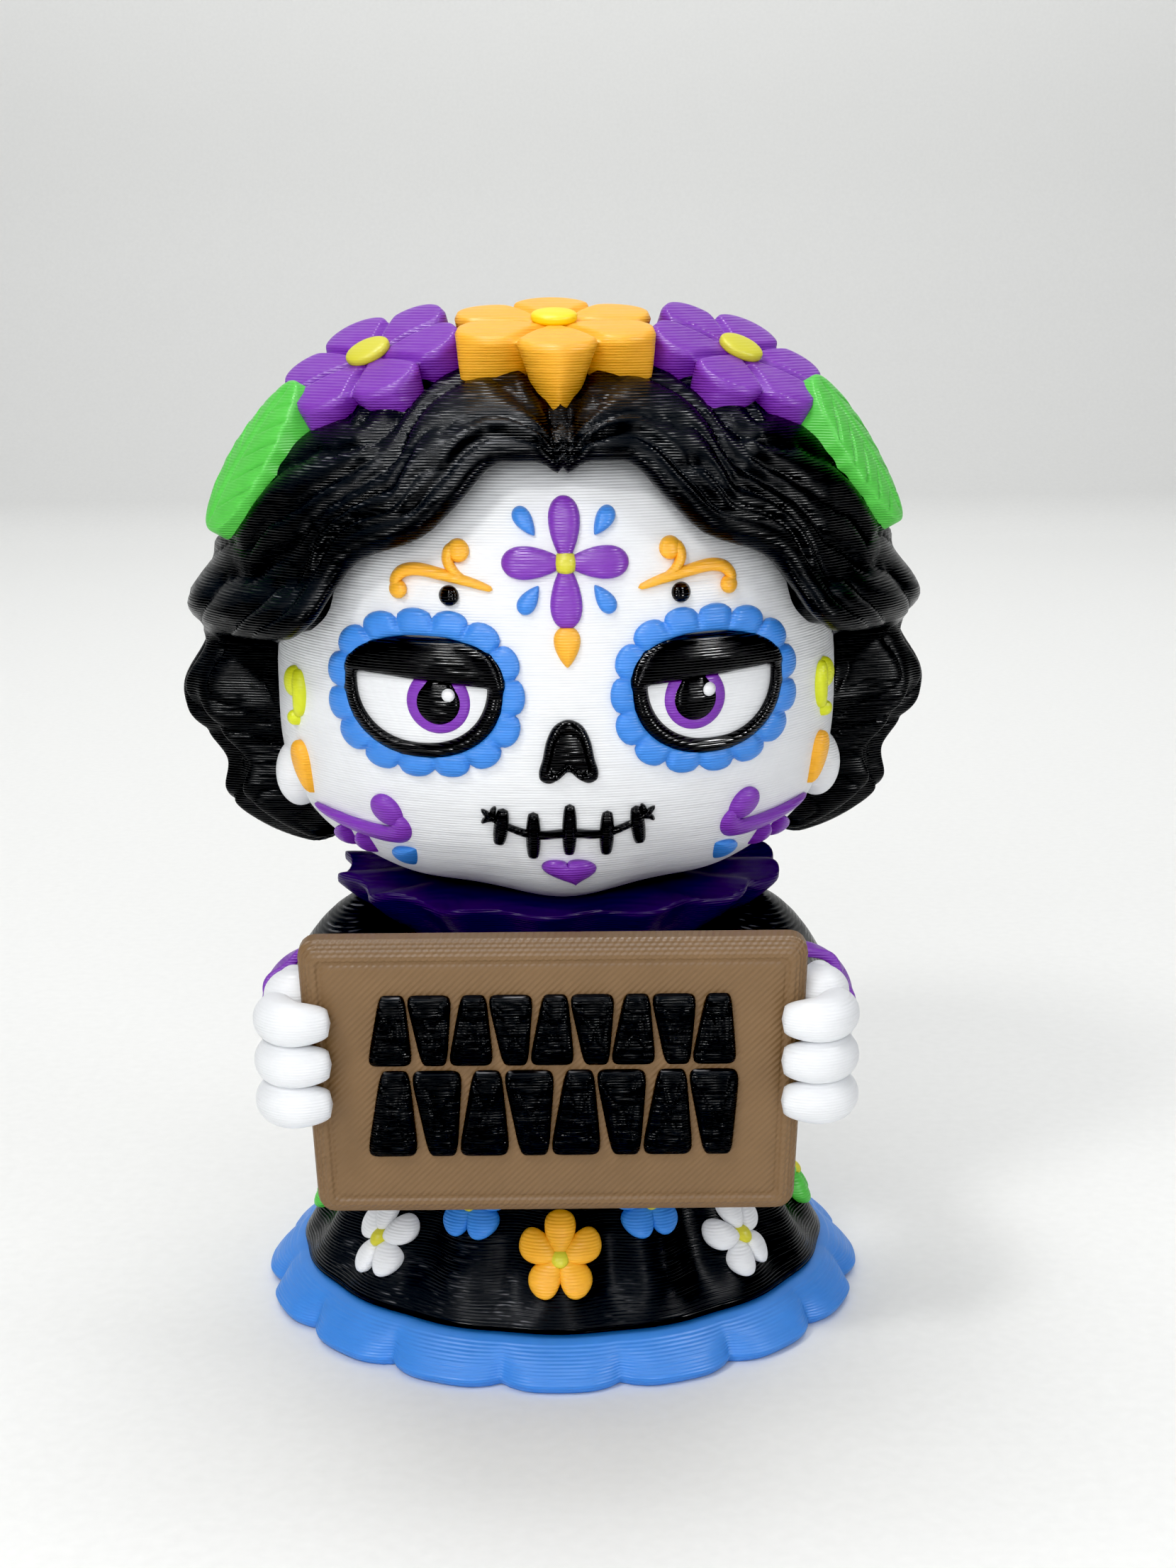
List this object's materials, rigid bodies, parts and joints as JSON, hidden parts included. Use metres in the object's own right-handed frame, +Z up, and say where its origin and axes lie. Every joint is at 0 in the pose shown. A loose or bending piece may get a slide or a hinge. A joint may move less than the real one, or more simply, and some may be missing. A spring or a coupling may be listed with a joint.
{
  "type": "catrina figure",
  "caption": "Small printed skull-faced lady with a flower crown, wavy bob and flared dress, holding up a sign in both hands.",
  "frame": {"origin": "middle of the flat underside of the hem", "axes": "+Z up, the face looks along -Y, +X to the viewer's right"},
  "size_m": [0.0595, 0.0524, 0.0792],
  "materials": {
    "white_plastic": "satin printed plastic with fine level layer lines",
    "black_plastic": "glossy printed plastic with fine level layer lines",
    "orange_plastic": "satin printed plastic with fine level layer lines",
    "yellow_plastic": "satin printed plastic with fine level layer lines",
    "purple_plastic": "satin printed plastic with fine level layer lines",
    "plum_plastic": "satin printed plastic with fine level layer lines",
    "green_plastic": "satin printed plastic with fine level layer lines",
    "blue_plastic": "satin printed plastic with fine level layer lines",
    "brown_plastic": "satin printed plastic with fine level layer lines"
  },
  "bodies": {
    "root": {"skull_head": "white_plastic", "nose": "black_plastic", "mouth_stitches": "black_plastic", "chin_heart": "purple_plastic", "forehead_flower": "purple_plastic", "forehead_flower_centre": "yellow_plastic", "forehead_drop_1": "blue_plastic", "forehead_drop_2": "blue_plastic", "forehead_drop_3": "blue_plastic", "forehead_drop_4": "blue_plastic", "bridge_drop": "orange_plastic", "brow_swirl_left": "orange_plastic", "brow_dot_left": "black_plastic", "temple_comma_left": "yellow_plastic", "temple_drop_left": "orange_plastic", "cheek_swirl_left": "purple_plastic", "cheek_drop_left": "blue_plastic", "brow_swirl_right": "orange_plastic", "brow_dot_right": "black_plastic", "temple_comma_right": "yellow_plastic", "temple_drop_right": "orange_plastic", "cheek_swirl_right": "purple_plastic", "cheek_drop_right": "blue_plastic", "eye_ring_left": "blue_plastic", "eye_frame_left": "black_plastic", "eye_white_left": "white_plastic", "iris_left": "purple_plastic", "pupil_left": "black_plastic", "eye_ring_right": "blue_plastic", "eye_frame_right": "black_plastic", "eye_white_right": "white_plastic", "iris_right": "purple_plastic", "pupil_right": "black_plastic", "hair": "black_plastic", "crown_flower_orange": "orange_plastic", "crown_centre_middle": "yellow_plastic", "crown_flower_purple_left": "purple_plastic", "crown_centre_left": "yellow_plastic", "crown_flower_purple_right": "purple_plastic", "crown_centre_right": "yellow_plastic", "crown_leaf_left": "green_plastic", "crown_leaf_right": "green_plastic", "collar": "plum_plastic", "dress": "black_plastic", "hem": "blue_plastic", "sign": "brown_plastic", "sign_strokes_upper": "black_plastic", "sign_strokes_lower": "black_plastic", "hand_left": "white_plastic", "cuff_left": "purple_plastic", "hand_right": "white_plastic", "cuff_right": "purple_plastic", "skirt_flower_front": "orange_plastic", "skirt_flower_inner_left": "blue_plastic", "skirt_flower_inner_right": "blue_plastic", "skirt_flower_outer_left": "white_plastic", "skirt_flower_outer_right": "white_plastic", "skirt_flower_side_left": "green_plastic", "skirt_flower_side_right": "green_plastic", "skirt_flower_back": "white_plastic"}
  },
  "joints": []
}
